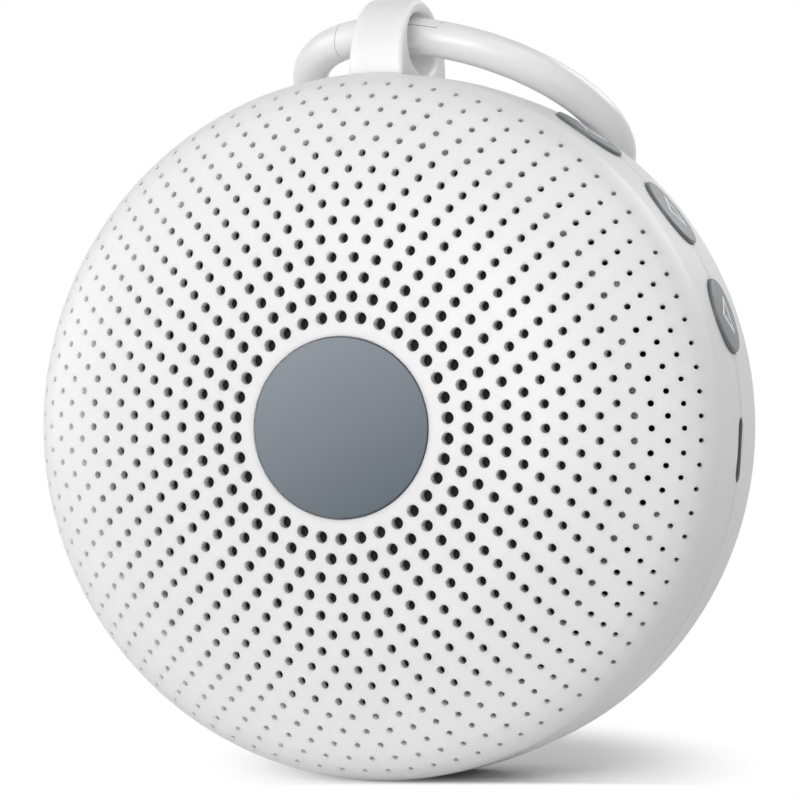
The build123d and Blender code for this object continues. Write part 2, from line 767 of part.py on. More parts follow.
with BuildPart() as speaker_socket:
    with BuildSketch(facing(board_front)):
        with Locations((0, speaker_socket_height)):
            Rectangle(socket_width, socket_depth)
    extrude(amount=socket_height)
speaker_socket.part.label = "speaker_socket"
export_step(speaker_socket.part, "parts/speaker_socket.step")

with BuildPart() as battery_socket:
    with BuildSketch(facing(board_back)):
        with Locations((0, battery_socket_height)):
            Rectangle(socket_width, socket_depth)
    extrude(amount=-socket_height)
battery_socket.part.label = "battery_socket"
export_step(battery_socket.part, "parts/battery_socket.step")

# ---------------------------------------------------------------- switches, plungers and buttons
flange_radius = cap_radius + cap_flange_width
flange_top = sqrt(inner_radius**2 - flange_radius**2) - part_gap
flange_bottom = flange_top - cap_flange_thickness
cap_top = seam_radius + cap_rise
switch_face = board_radius - part_gap
switch_rear = switch_face - switch_length
plunger_top = flange_bottom - cap_wall
plunger_foot = switch_face - plunger_seat
with BuildPart() as button_switches:
    for angle in button_angles:
        with BuildSketch(rim_plane(angle, switch_rear)):
            Rectangle(switch_height, switch_width)
        extrude(amount=switch_length)
    for angle in button_angles:
        with BuildSketch(rim_plane(angle, plunger_foot - 2 * plunger_travel)):
            Circle(plunger_radius + slip_gap)
        extrude(amount=switch_length, mode=Mode.SUBTRACT)
button_switches.part.label = "button_switches"
export_step(button_switches.part, "parts/button_switches.step")

for number, angle in enumerate(button_angles, 1):
    with BuildPart() as switch_plunger:
        with BuildSketch(rim_plane(angle, plunger_foot)):
            Circle(plunger_radius)
        extrude(amount=plunger_top - plunger_foot)
    switch_plunger.part.label = f"switch_plunger_{number}"
    export_step(switch_plunger.part, f"parts/switch_plunger_{number}.step")

face_radius = cap_radius - cap_edge
cap_corner = cap_edge * (1 - arc_middle)
face_arc = (face_radius**2 + cap_crown**2) / (2 * cap_crown)
face_lean = degrees(asin(face_radius / face_arc))
for number, angle in enumerate(button_angles, 1):
    with BuildPart() as button_cap:
        with BuildSketch(section_at(angle)):
            with BuildLine():
                Polyline(
                    (0, cap_top),
                    (0, plunger_top + glue_gap),
                    (stem_radius, plunger_top + glue_gap),
                    (stem_radius, flange_bottom + cap_wall),
                    (cap_radius - cap_wall, flange_bottom + cap_wall),
                    (cap_radius - cap_wall, flange_bottom),
                    (flange_radius, flange_bottom),
                    (flange_radius, flange_top),
                    (cap_radius, flange_top),
                    (cap_radius, cap_top - cap_crown - cap_edge),
                )
                ThreePointArc(
                    (cap_radius, cap_top - cap_crown - cap_edge),
                    (cap_radius - cap_corner, cap_top - cap_crown - cap_corner),
                    (face_radius, cap_top - cap_crown),
                )
                CenterArc((0, cap_top - face_arc), face_arc, 90, -face_lean)
            make_face()
        revolve(axis=Axis(case_center, outward(angle)))
    button_cap.part.label = f"button_cap_{number}"
    export_step(button_cap.part, f"parts/button_cap_{number}.step")

# ---------------------------------------------------------------- charging inlet
shell_front = seam_radius - inlet_recess
shell_rear = shell_front - shell_length
mouth_width = shell_width - 2 * shell_sheet
mouth_height = shell_height - 2 * shell_sheet
with BuildPart() as inlet_shell:
    with BuildSketch(rim_plane(inlet_angle, shell_rear)):
        SlotOverall(shell_width, shell_height, rotation=90)
        SlotOverall(mouth_width, mouth_height, rotation=90, mode=Mode.SUBTRACT)
    extrude(amount=shell_length)
inlet_shell.part.label = "inlet_shell"
export_step(inlet_shell.part, "parts/inlet_shell.step")

with BuildPart() as inlet_tongue:
    with BuildSketch(rim_plane(inlet_angle, shell_rear)):
        SlotOverall(mouth_width - 2 * glue_gap, mouth_height - 2 * glue_gap, rotation=90)
    extrude(amount=tongue_base)
    with BuildSketch(rim_plane(inlet_angle, shell_rear)):
        Rectangle(tongue_thickness, tongue_width)
    extrude(amount=tongue_base + tongue_length)
inlet_tongue.part.label = "inlet_tongue"
export_step(inlet_tongue.part, "parts/inlet_tongue.step")

# ---------------------------------------------------------------- rear cover
lip_outer = inner_radius - slip_gap
lip_inner = lip_outer - lip_thickness
band_end = rear_depth - rear_edge_arc
back_radius = seam_radius - rear_draft - rear_edge_arc
with BuildPart() as rear_cover:
    with BuildSketch(meridian):
        with BuildLine():
            Polyline(
                (rear_depth, 0),
                (rear_inside, 0),
                (rear_inside, back_radius),
            )
            ThreePointArc(
                (rear_inside, back_radius),
                (
                    band_end + (rear_edge_arc - wall) * arc_middle,
                    back_radius + (rear_edge_arc - wall) * arc_middle,
                ),
                (band_end, seam_radius - rear_draft - wall),
            )
            Polyline(
                (band_end, seam_radius - rear_draft - wall),
                (0, inner_radius),
                (0, seam_radius - seam_chamfer),
                (seam_chamfer, seam_radius),
                (band_end, seam_radius - rear_draft),
            )
            ThreePointArc(
                (band_end, seam_radius - rear_draft),
                (
                    band_end + rear_edge_arc * arc_middle,
                    back_radius + rear_edge_arc * arc_middle,
                ),
                (rear_depth, back_radius),
            )
            Line((rear_depth, back_radius), (rear_depth, 0))
        make_face()
    revolve(axis=case_axis)
    # the lip that centres the front cover, all round but for the side with the buttons, inlet and loop
    with BuildSketch(section_at(lip_start)):
        with BuildLine():
            Polyline(
                (-lip_height, lip_inner),
                (-lip_height, lip_outer),
                (0, lip_outer),
                (0, inner_radius),
                (lip_height, inner_radius + wall / 4),
                (lip_height, lip_inner),
                close=True,
            )
        make_face()
    revolve(axis=Axis(case_center, (0, -1, 0)), revolution_arc=lip_arc)
    # posts for the case screws, standoffs for the board and a fence round the battery
    with BuildSketch(facing(rear_inside + wall / 2)):
        with PolarLocations(boss_circle, 4, case_screw_angle):
            Circle(post_radius)
    extrude(amount=rear_inside + wall / 2)
    with BuildSketch(facing(rear_inside + wall / 2)):
        with PolarLocations(standoff_circle, 4, pad_angle):
            Circle(standoff_radius)
    extrude(amount=rear_inside + wall / 2 - board_back)
    with BuildSketch(facing(rear_inside + wall / 2)):
        with Locations((0, -battery_drop)):
            Rectangle(
                battery_width + 2 * slip_gap + 2 * fence_thickness,
                battery_height + 2 * slip_gap + 2 * fence_thickness,
            )
            Rectangle(battery_width + 2 * slip_gap, battery_height + 2 * slip_gap, mode=Mode.SUBTRACT)
    extrude(amount=fence_height + wall / 2)
    # screw holes
    with BuildSketch(facing(rear_depth)):
        with PolarLocations(boss_circle, 4, case_screw_angle):
            Circle(screw_radius + slip_gap)
    extrude(amount=rear_depth, mode=Mode.SUBTRACT)
    with BuildSketch(facing(rear_depth)):
        with PolarLocations(boss_circle, 4, case_screw_angle):
            Circle(screw_head_radius + slip_gap)
    extrude(amount=rear_depth - case_screw_seat, mode=Mode.SUBTRACT)
    with BuildSketch(facing(board_back)):
        with PolarLocations(standoff_circle, 4, pad_angle):
            Circle(screw_radius + glue_gap)
    extrude(amount=-short_screw_length, mode=Mode.SUBTRACT)
    cut_rim_openings()
rear_cover.part.label = "rear_cover"
export_step(rear_cover.part, "parts/rear_cover.step")

with BuildPart() as case_screws:
    draw_screws(case_screw_seat, PolarLocations(boss_circle, 4, case_screw_angle), case_screw_length)
case_screws.part.label = "case_screws"
export_step(case_screws.part, "parts/case_screws.step")

# ---------------------------------------------------------------- battery
with BuildPart() as battery_cell:
    with BuildSketch(facing(rear_inside - tape_thickness)):
        with Locations((0, -battery_drop)):
            RectangleRounded(battery_width, battery_height, battery_edge)
    extrude(amount=battery_thickness)
    fillet(battery_cell.edges().filter_by(Axis.X), battery_edge)
battery_cell.part.label = "battery_cell"
export_step(battery_cell.part, "parts/battery_cell.step")

with BuildPart() as battery_tape:
    with BuildSketch(facing(rear_inside)):
        with Locations((0, -battery_drop)):
            Rectangle(tape_width, tape_height)
    extrude(amount=tape_thickness)
battery_tape.part.label = "battery_tape"
export_step(battery_tape.part, "parts/battery_tape.step")

# ---------------------------------------------------------------- leads


def draw_lead(*points):
    """One insulated wire in the open part: straight runs through these points, joined by wide arcs."""
    runs = [(end - start).length for start, end in zip(points[:-1], points[1:])]
    with BuildLine() as route:
        FilletPolyline(*points, radius=lead_bend_share * min(runs))
    with BuildSketch(Plane(origin=points[0], z_dir=points[1] - points[0])) as section:
        Circle(lead_radius)
    sweep(section.sketch, path=route.line)


def inside_case(right, depth, height):
    """A point by its distances right of, behind and above the case's centre."""
    return case_center + Vector(right, depth, height)


battery_middle = rear_inside - tape_thickness - battery_thickness / 2
battery_top = battery_height / 2 - battery_drop
battery_plug_depth = board_back + socket_height / 2
battery_plug_height = battery_socket_height - socket_depth / 2
battery_turn = (battery_top + battery_plug_height) / 2
with BuildPart() as battery_leads:
    for side in (-lead_pitch / 2, lead_pitch / 2):
        draw_lead(
            inside_case(side, battery_middle, battery_top),
            inside_case(side, battery_middle, battery_turn),
            inside_case(side, battery_plug_depth, battery_turn),
            inside_case(side, battery_plug_depth, battery_plug_height),
        )
battery_leads.part.label = "battery_leads"
export_step(battery_leads.part, "parts/battery_leads.step")

terminal_depth = basket_back - part_gap
basket_lean = (basket_mouth - basket_base - basket_sheet) / (basket_back - flange_back)
terminal_foot = basket_base + basket_sheet + basket_lean * (terminal_thickness + part_gap) + glue_gap
terminal_top = terminal_foot + terminal_height
with BuildPart() as speaker_terminal:
    with BuildSketch(facing(terminal_depth)):
        with Locations((0, terminal_foot + terminal_height / 2)):
            Rectangle(socket_width, terminal_height)
    extrude(amount=terminal_thickness)
speaker_terminal.part.label = "speaker_terminal"
export_step(speaker_terminal.part, "parts/speaker_terminal.step")

with BuildPart() as speaker_leads:
    for side in (-lead_pitch / 2, lead_pitch / 2):
        draw_lead(
            inside_case(side, terminal_depth - terminal_thickness / 2, terminal_top),
            inside_case(side, terminal_depth - terminal_thickness / 2, speaker_socket_height),
            inside_case(side, board_front - socket_height, speaker_socket_height),
        )
speaker_leads.part.label = "speaker_leads"
export_step(speaker_leads.part, "parts/speaker_leads.step")

# ---------------------------------------------------------------- loop on top
loop_flange_top = sqrt((inner_radius - part_gap) ** 2 - (loop_flange_width / 2) ** 2) - part_gap
loop_flange_bottom = loop_flange_top - loop_flange_thickness
with BuildPart() as hang_loop:
    # seen from the side: a straight foot, an elliptical top and an elliptical eye
    with BuildSketch(meridian):
        with Locations((0, loop_straight_top)):
            Ellipse(loop_half_depth, loop_top - loop_straight_top)
        with Locations((0, (loop_straight_top + loop_flange_bottom) / 2)):
            Rectangle(2 * loop_half_depth, loop_straight_top - loop_flange_bottom)
        with Locations((0, loop_eye_center)):
            Ellipse(loop_eye_half_depth, loop_eye_half_height, mode=Mode.SUBTRACT)
    extrude(amount=loop_foot_width, both=True)
    # seen from the front: it widens toward the case
    with BuildSketch(facing(0)):
        with BuildLine():
            Polyline(
                (-loop_foot_width / 2, loop_flange_bottom),
                (-loop_width / 2, loop_top),
                (loop_width / 2, loop_top),
                (loop_foot_width / 2, loop_flange_bottom),
                close=True,
            )
        make_face()
    extrude(amount=2 * loop_half_depth, both=True, mode=Mode.INTERSECT)
    side_edges = hang_loop.edges().filter_by(Axis.X, reverse=True).group_by(Axis.Z)[1:]
    fillet([edge for group in side_edges for edge in group], loop_edge)
    # the flange that the covers trap
    with BuildSketch(facing(0)):
        with Locations((0, (loop_flange_top + loop_flange_bottom) / 2)):
            Rectangle(loop_flange_width, loop_flange_thickness)
    extrude(amount=loop_half_depth, both=True)
hang_loop.part.label = "hang_loop"
export_step(hang_loop.part, "parts/hang_loop.step")

# ---------------------------------------------------------------- clip ring
crossing = inside_case(0, ring_back, ring_rise)
toward_middle = Vector(0, 1, 0).rotate(Axis.X, -ring_droop).rotate(Axis.Z, -ring_heading)
middle_line = Axis((0, 0, 0), toward_middle)
along_tube = Vector(1, 0, 0).rotate(Axis.Z, -ring_heading).rotate(middle_line, ring_roll)
ring_normal = along_tube.cross(toward_middle)
ring_middle = crossing + toward_middle * ring_radius
ring_axis = Axis(ring_middle, ring_normal)
ring_turn = Axis((0, 0, 0), ring_normal)
tube_section = Plane(origin=crossing, x_dir=toward_middle, z_dir=along_tube * -1)
gate_pin_spot = ring_middle + (crossing - ring_middle).rotate(ring_turn, gate_pin_angle)
gate_reach = 2 * ring_radius * sin(radians((gate_tip_angle + gate_pin_angle) / 2))


def pin_plane(height):
    """The plane across the gate's pin this far above the ring's middle, with x along the tube there."""
    return Plane(
        origin=gate_pin_spot + ring_normal * height,
        x_dir=along_tube.rotate(ring_turn, gate_pin_angle),
        z_dir=ring_normal,
    )


def draw_gate_outline(reach, knuckle, knuckle_mode):
    """Fills the open sketch from the pin to the gate's tip, and adds or takes the round of the lap joint."""
    Circle(reach)
    with Locations((reach, 0)):
        Rectangle(2 * reach, 2 * reach, mode=Mode.SUBTRACT)
    Circle(knuckle, mode=knuckle_mode)


with BuildPart() as ring_body:
    with BuildSketch(tube_section):
        Circle(tube_radius)
    revolve(axis=ring_axis)
    # the gate's place, but for the tongue that reaches under the gate to its pin
    with BuildSketch(pin_plane(-2 * tube_radius)):
        draw_gate_outline(gate_reach + knuckle_gap, knuckle_radius, Mode.SUBTRACT)
    extrude(amount=4 * tube_radius, mode=Mode.SUBTRACT)
    with BuildSketch(pin_plane(lap_height)):
        draw_gate_outline(gate_reach + knuckle_gap, knuckle_radius + knuckle_gap, Mode.ADD)
    extrude(amount=2 * tube_radius, mode=Mode.SUBTRACT)
    with BuildSketch(pin_plane(-2 * tube_radius)):
        Circle(pin_radius + glue_gap)
    extrude(amount=4 * tube_radius, mode=Mode.SUBTRACT)
ring_body.part.label = "ring_body"
export_step(ring_body.part, "parts/ring_body.step")

with BuildPart() as ring_gate:
    with BuildSketch(tube_section):
        Circle(tube_radius)
    revolve(axis=ring_axis)
    with BuildSketch(pin_plane(-2 * tube_radius)):
        draw_gate_outline(gate_reach, knuckle_radius, Mode.ADD)
    extrude(amount=4 * tube_radius, mode=Mode.INTERSECT)
    with BuildSketch(pin_plane(-2 * tube_radius)):
        Circle(knuckle_radius + knuckle_gap)
    extrude(amount=2 * tube_radius + lap_height + knuckle_gap, mode=Mode.SUBTRACT)
    with BuildSketch(pin_plane(0)):
        Circle(pin_radius + pin_gap)
    extrude(amount=pin_head + pin_gap, mode=Mode.SUBTRACT)
    with BuildSketch(pin_plane(0)):
        Circle(spring_radius + spring_wire + spring_room)
    spring_height = spring_pitch * spring_turns + 4 * spring_wire
    extrude(amount=lap_height + spring_height + spring_room, mode=Mode.SUBTRACT)
ring_gate.part.label = "ring_gate"
export_step(ring_gate.part, "parts/ring_gate.step")

with BuildPart() as gate_pin:
    with BuildSketch(pin_plane(-pin_foot)):
        Circle(pin_radius)
    extrude(amount=pin_foot + pin_head)
gate_pin.part.label = "gate_pin"
export_step(gate_pin.part, "parts/gate_pin.step")

with BuildPart() as gate_spring:
    with BuildLine() as spring_route:
        Helix(
            pitch=spring_pitch,
            height=spring_pitch * spring_turns,
            radius=spring_radius,
            center=gate_pin_spot + ring_normal * (lap_height + spring_wire + glue_gap),
            direction=ring_normal,
        )
    with BuildSketch(Plane(origin=spring_route.line @ 0, z_dir=spring_route.line % 0)) as spring_section:
        Circle(spring_wire)
    sweep(spring_section.sketch, path=spring_route.line, is_frenet=True)
gate_spring.part.label = "gate_spring"
export_step(gate_spring.part, "parts/gate_spring.step")
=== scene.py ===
# %% [markdown]
# # A white noise machine with a clip ring
# This notebook dresses a small round sound machine. Its pieces arrive finished in shape, in metres, and each
# one already stands where it belongs. What is left to make is how they look: the plastics, the printed signs,
# the light and the camera.

# %% Load the frame
import json
from math import atan2, cos, pi, sin, sqrt

import bmesh
import bpy
from mathutils import Matrix, Vector


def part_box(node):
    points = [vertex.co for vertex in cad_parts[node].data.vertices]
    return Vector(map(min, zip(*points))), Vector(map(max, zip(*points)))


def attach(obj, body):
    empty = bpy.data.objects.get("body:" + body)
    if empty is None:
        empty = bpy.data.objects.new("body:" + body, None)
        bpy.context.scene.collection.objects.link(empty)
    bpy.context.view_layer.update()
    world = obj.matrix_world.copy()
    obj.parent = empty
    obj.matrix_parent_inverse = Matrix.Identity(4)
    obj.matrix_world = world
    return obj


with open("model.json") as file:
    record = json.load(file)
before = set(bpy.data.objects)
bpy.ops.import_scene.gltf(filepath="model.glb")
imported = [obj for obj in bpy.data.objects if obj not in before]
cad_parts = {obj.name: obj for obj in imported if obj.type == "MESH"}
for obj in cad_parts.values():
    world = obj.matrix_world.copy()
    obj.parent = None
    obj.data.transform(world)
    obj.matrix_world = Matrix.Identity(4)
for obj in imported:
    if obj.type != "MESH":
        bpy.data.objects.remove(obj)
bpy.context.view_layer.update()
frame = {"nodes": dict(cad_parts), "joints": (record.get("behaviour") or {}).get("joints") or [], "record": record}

# %% [markdown]
# ## Where the case is
# Most pieces are round about one level line, the case axis. The lamps look at its middle, and the opening of
# the charging inlet leans out from it. Reading it from the finished front cover keeps both right if that
# cover ever changes. The middle is taken where the front cover ends and the rear one starts.

# %% Case axis and middle
mm = 0.001
front_low, front_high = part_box("front_cover")
case_radius = (front_high.x - front_low.x) / 2
case_center = Vector((0, front_high.y, front_high.z - case_radius))
print("case radius", round(case_radius / mm, 2), "mm, centre", [round(c / mm, 2) for c in case_center])

# %% [markdown]
# ## The camera
# The machine is seen from its front and a little from the side of its buttons, almost level, through a long
# lens. A camera looks down its own -Z, so its turn is built from three directions: back, then right, which is
# level, and up, which is square to both.

# %% Camera
camera_place = Vector((160.46, -532.08, 55.20)) * mm
camera_back = Vector((0.29028, -0.95694, 0.003124)).normalized()
camera_right = Vector((0, 0, 1)).cross(camera_back).normalized()
camera_up = camera_back.cross(camera_right)
camera_data = bpy.data.cameras.new("camera")
camera_data.lens = 173.6
camera_data.sensor_width = 36
camera_data.clip_start = 0.01
camera = bpy.data.objects.new("camera", camera_data)
turn = Matrix((camera_right, camera_up, camera_back)).transposed().to_4x4()
camera.matrix_world = Matrix.Translation(camera_place) @ turn
bpy.context.scene.collection.objects.link(camera)
bpy.context.scene.camera = camera
bpy.context.scene.view_settings.view_transform = "Standard"
print("camera at", [round(c, 4) for c in camera.location])

# %% [markdown]
# ## Materials
# Every finish is a small node tree on one Principled shader. A painted image would need the mesh unwrapped;
# noise on Object coordinates needs nothing, keeps its grain at any distance and stays with the piece when it
# moves. The helpers below are the few steps that all the finishes are made of.

# %% Helpers that start a material and do arithmetic in it
def start_material(name):
    """A new material: its node tree, its Principled shader and its Object coordinates."""
    material = bpy.data.materials.new(name)
    material.use_nodes = True
    tree = material.node_tree
    shader = tree.nodes["Principled BSDF"]
    place = tree.nodes.new("ShaderNodeTexCoord")
    return material, tree, shader, place.outputs["Object"]


def add_math(tree, operation, first, second):
    """Arithmetic on two values, each the output of a node or a plain number."""
    result = tree.nodes.new("ShaderNodeMath")
    result.operation = operation
    for entry, value in zip(result.inputs, (first, second)):
        if isinstance(value, bpy.types.NodeSocket):
            tree.links.new(value, entry)
        else:
            entry.default_value = value
    return result.outputs["Value"]


def add_range(tree, value, low, high, start=0.0, stop=1.0, kind="LINEAR"):
    """Goes from low to high while a value goes from start to stop."""
    spread = tree.nodes.new("ShaderNodeMapRange")
    spread.interpolation_type = kind
    spread.inputs["From Min"].default_value = start
    spread.inputs["From Max"].default_value = stop
    spread.inputs["To Min"].default_value = low
    spread.inputs["To Max"].default_value = high
    tree.links.new(value, spread.inputs["Value"])
    return spread.outputs["Result"]


# %% Helpers for a pattern, its colours and its relief
noise_start, noise_stop = 0.3, 0.7      # noise seldom leaves this part of its 0 to 1


def add_noise(tree, place, scale, detail=3.0):
    """Noise with this many cells to the metre."""
    noise = tree.nodes.new("ShaderNodeTexNoise")
    noise.inputs["Scale"].default_value = scale
    noise.inputs["Detail"].default_value = detail
    tree.links.new(place, noise.inputs["Vector"])
    return noise.outputs["Fac"]


def add_tone(tree, value, dark, light, start=noise_start, stop=noise_stop):
    """Blends the first colour into the second while a value goes from start to stop."""
    tone = tree.nodes.new("ShaderNodeValToRGB")
    for end, position, colour in zip(tone.color_ramp.elements, (start, stop), (dark, light)):
        end.position = position
        end.color = (*colour, 1)
    tree.links.new(value, tone.inputs["Fac"])
    return tone.outputs["Color"]


def add_bump(tree, shader, value, height):
    """Raises the surface by this many metres where the value is 1."""
    bump = tree.nodes.new("ShaderNodeBump")
    bump.inputs["Strength"].default_value = 1
    bump.inputs["Distance"].default_value = height
    tree.links.new(value, bump.inputs["Height"])
    tree.links.new(bump.outputs["Normal"], shader.inputs["Normal"])


# %% [markdown]
# ## Moulded plastic and plated metal
# Moulded plastic is never one flat colour: its tone drifts slightly where it flowed and cooled, its gloss
# varies, and a spark-eroded mould leaves a fine even grain. Three noises of very different sizes make these
# three. Plating over a pressed sheet looks alike, so one helper makes both, and only the numbers differ.

# %% Moulded and plated finishes
tone_cells = 40             # to the metre, so that the tone drifts over about 25 mm
roughness_cells = 220
roughness_spread = 0.05


def moulded(name, colour, drift, roughness, grain, grain_height, metallic=0.0):
    """A drifting tone, uneven gloss and a grain of this many cells to the metre."""
    material, tree, shader, place = start_material(name)
    dark = [c * (1 - drift) for c in colour]
    light = [min(1, c * (1 + drift)) for c in colour]
    tone = add_tone(tree, add_noise(tree, place, tone_cells), dark, light)
    tree.links.new(tone, shader.inputs["Base Color"])
    uneven = add_noise(tree, place, roughness_cells)
    rough = add_range(tree, uneven, roughness - roughness_spread, roughness + roughness_spread)
    tree.links.new(rough, shader.inputs["Roughness"])
    shader.inputs["Metallic"].default_value = metallic
    add_bump(tree, shader, add_noise(tree, place, grain, detail=1.0), grain_height)
    return material


# %% [markdown]
# ## Dust cloth
# A thin black cloth behind the holes keeps dust off the speaker. Modelled threads would be far too many for
# something seen through small holes, so two wave textures that cross give the look of a weave. The higher of
# the two is taken at each point, as the upper thread is the one that shows.

# %% Woven finish
wave_to_thread = 6.3        # with this the texture repeats once for a thread and the gap beside it
gap_shade = 0.5             # the gaps are this part as light as the threads
cloth_roughness = 0.9


def woven(name, colour, thread):
    """Cloth of crossing threads, each this wide in metres."""
    material, tree, shader, place = start_material(name)
    waves = []
    for direction in ("X", "Z"):
        wave = tree.nodes.new("ShaderNodeTexWave")
        wave.bands_direction = direction
        wave.inputs["Scale"].default_value = 1 / (wave_to_thread * thread)
        tree.links.new(place, wave.inputs["Vector"])
        waves.append(wave.outputs["Fac"])
    upper = add_math(tree, "MAXIMUM", waves[0], waves[1])
    tone = add_tone(tree, upper, [c * gap_shade for c in colour], colour)
    tree.links.new(tone, shader.inputs["Base Color"])
    shader.inputs["Roughness"].default_value = cloth_roughness
    add_bump(tree, shader, upper, thread / 4)
    return material


# %% [markdown]
# ## The badge
# The badge is a satin disc in a blue grey, with painted light and shade: lighter at its upper left, where the
# light falls, and darker at its lower right. A gradient laid across the disc gives that slow change. Its face
# is bare. A gradient texture runs from 0 to 1 along its own X, so a Mapping node shrinks the disc to a size of
# 1, turns it and moves its middle to the half-way point.

# %% Badge finish
# the badge's colour carries painted light at its upper left and painted shade at its lower right
badge_painted_light = (0.175, 0.198, 0.226)
badge_painted_shade = (0.046, 0.067, 0.088)
badge_light_slant = -56 * pi / 180
badge_roughness = (0.38, 0.48)
badge_roughness_cells = 900
badge_grain = 5000
badge_grain_height = 0.004 * mm


def badge_finish():
    """Blue grey with painted light at the upper left of the disc, changing slowly to painted shade at its lower
    right.
    """
    material, tree, shader, place = start_material("badge_satin")
    low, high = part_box("grille_badge")
    size = high.x - low.x
    middle_turned = Matrix.Rotation(badge_light_slant, 3, "Y") @ ((low + high) / 2 / size)
    across = tree.nodes.new("ShaderNodeMapping")
    across.inputs["Rotation"].default_value = (0, badge_light_slant, 0)
    across.inputs["Scale"].default_value = (1 / size, 1 / size, 1 / size)
    across.inputs["Location"].default_value = Vector((0.5, 0.5, 0.5)) - middle_turned
    tree.links.new(place, across.inputs["Vector"])
    gradient = tree.nodes.new("ShaderNodeTexGradient")
    tree.links.new(across.outputs["Vector"], gradient.inputs["Vector"])
    tone = add_tone(tree, gradient.outputs["Fac"], badge_painted_light, badge_painted_shade, start=0, stop=1)
    tree.links.new(tone, shader.inputs["Base Color"])
    rough = add_range(tree, add_noise(tree, place, badge_roughness_cells), *badge_roughness)
    tree.links.new(rough, shader.inputs["Roughness"])
    add_bump(tree, shader, add_noise(tree, place, badge_grain, detail=1.0), badge_grain_height)
    return material


# %% [markdown]
# ## One finish for each material slot
# The record names a slot for every piece. Making one finish for each slot means that no piece can be
# forgotten: a slot without a finish would stop the notebook where the finishes are handed out.

# %% Finishes by slot
# a moulded row: name, colour, drift of tone, roughness, cells of grain to the metre, height of the grain
finishes = {
    "white_case": moulded("case_plastic", (0.80, 0.795, 0.80), 0.008, 0.44, 6000, 0.004 * mm),
    "white_clip": moulded("ring_plastic", (0.78, 0.775, 0.78), 0.008, 0.30, 3000, 0.002 * mm),
    "blue_badge": badge_finish(),
    "grey_button": moulded("button_plastic", (0.115, 0.122, 0.132), 0.03, 0.40, 5000, 0.004 * mm),
    "steel": moulded("plated_steel", (0.55, 0.55, 0.56), 0.03, 0.30, 2500, 0.002 * mm, metallic=1.0),
    "black_plastic": moulded("black_plastic", (0.02, 0.02, 0.021), 0.05, 0.50, 4000, 0.004 * mm),
    "ferrite": moulded("ferrite", (0.03, 0.03, 0.033), 0.10, 0.60, 1500, 0.01 * mm),
    "black_cloth": woven("dust_cloth", (0.012, 0.012, 0.013), 0.12 * mm),
    "foam": moulded("foam", (0.04, 0.04, 0.042), 0.20, 0.90, 1800, 0.05 * mm),
    "rubber_roll": moulded("surround_rubber", (0.018, 0.018, 0.019), 0.06, 0.62, 3000, 0.004 * mm),
    "paper_cone": moulded("cone_paper", (0.05, 0.048, 0.045), 0.15, 0.80, 1200, 0.02 * mm),
    "copper": moulded("coil_copper", (0.60, 0.27, 0.12), 0.06, 0.32, 4000, 0.01 * mm, metallic=1.0),
    "board_green": moulded("board_green", (0.015, 0.10, 0.04), 0.08, 0.35, 900, 0.01 * mm),
    "socket_cream": moulded("socket_nylon", (0.72, 0.68, 0.55), 0.02, 0.50, 3000, 0.004 * mm),
    "battery_silver": moulded("battery_foil", (0.62, 0.63, 0.65), 0.04, 0.28, 700, 0.03 * mm, metallic=1.0),
    "lead_red": moulded("lead_red", (0.45, 0.02, 0.02), 0.05, 0.35, 2000, 0.003 * mm),
}
print("made", len(finishes), "finishes")

# %% [markdown]
# ## Light inside pale plastic
# Pale plastic isn't quite closed to light: some enters, scatters and comes out a millimetre or two away,
# which lifts the shade in the walls of small holes. A lighter colour would brighten the whole case too, so
# the Principled shader's subsurface is used, which acts only where light and shade are that close together.

# %% Case and ring let light in
case_light_share, case_light_depth = 1.0, 1.8 * mm
ring_light_share, ring_light_depth = 0.3, 0.5 * mm


def let_light_in(material, share, depth):
    """This share of the light that meets the plastic enters it and comes out within about this depth."""
    shader = material.node_tree.nodes["Principled BSDF"]
    shader.inputs["Subsurface Weight"].default_value = share
    shader.inputs["Subsurface Radius"].default_value = (1, 1, 1)
    shader.inputs["Subsurface Scale"].default_value = depth


let_light_in(finishes["white_case"], case_light_share, case_light_depth)
let_light_in(finishes["white_clip"], ring_light_share, ring_light_depth)
print("light enters the case by", round(case_light_depth / mm, 1), "mm")

# %% [markdown]
# ## The dark mouth of the charging inlet
# Little light reaches the walls round the inlet's metal shell, so they look darker than the case does. The
# case is one mesh with one finish, so the place is picked out by its coordinates. A Mapping node in texture
# mode undoes a place, a turn and a size, after which the leaning box round the shell is a plain cube from -1
# to 1. A point whose largest coordinate is under 1 lies inside and takes the darker tone.

# %% Helpers that pick out a place on a piece
def span(node, direction):
    """How far a node's mesh lies along this direction: its low end and its high end."""
    reach = [vertex.co.dot(direction) for vertex in frame["nodes"][node].data.vertices]
    return min(reach), max(reach)


def leaning_box(node, lean):
    """The middle and half size of a node's box on axes that lean up from level by this angle."""
    axes = (Vector((cos(lean), 0, sin(lean))), Vector((0, 1, 0)), Vector((-sin(lean), 0, cos(lean))))
    spans = [span(node, axis) for axis in axes]
    middle = sum((axis * (start + stop) / 2 for axis, (start, stop) in zip(axes, spans)), Vector())
    return middle, Vector([(stop - start) / 2 for start, stop in spans])


def add_region(tree, place, middle, turned, reach):
    """Coordinates in which a turned box round this middle goes from -1 to 1 in each direction."""
    region = tree.nodes.new("ShaderNodeMapping")
    region.vector_type = "TEXTURE"
    region.inputs["Location"].default_value = middle
    region.inputs["Rotation"].default_value = turned
    region.inputs["Scale"].default_value = reach
    tree.links.new(place, region.inputs["Vector"])
    return region.outputs["Vector"]


def add_parts(tree, vector):
    """The X, Y and Z of a vector, each as a value of its own."""
    parts = tree.nodes.new("ShaderNodeSeparateXYZ")
    tree.links.new(vector, parts.inputs["Vector"])
    return parts.outputs


# %% Darken the opening
opening_margin = Vector((0.55, 0.3, 0.3)) * mm      # outward, along the case axis and along the rim
opening_tone = (0.24, 0.24, 0.245)


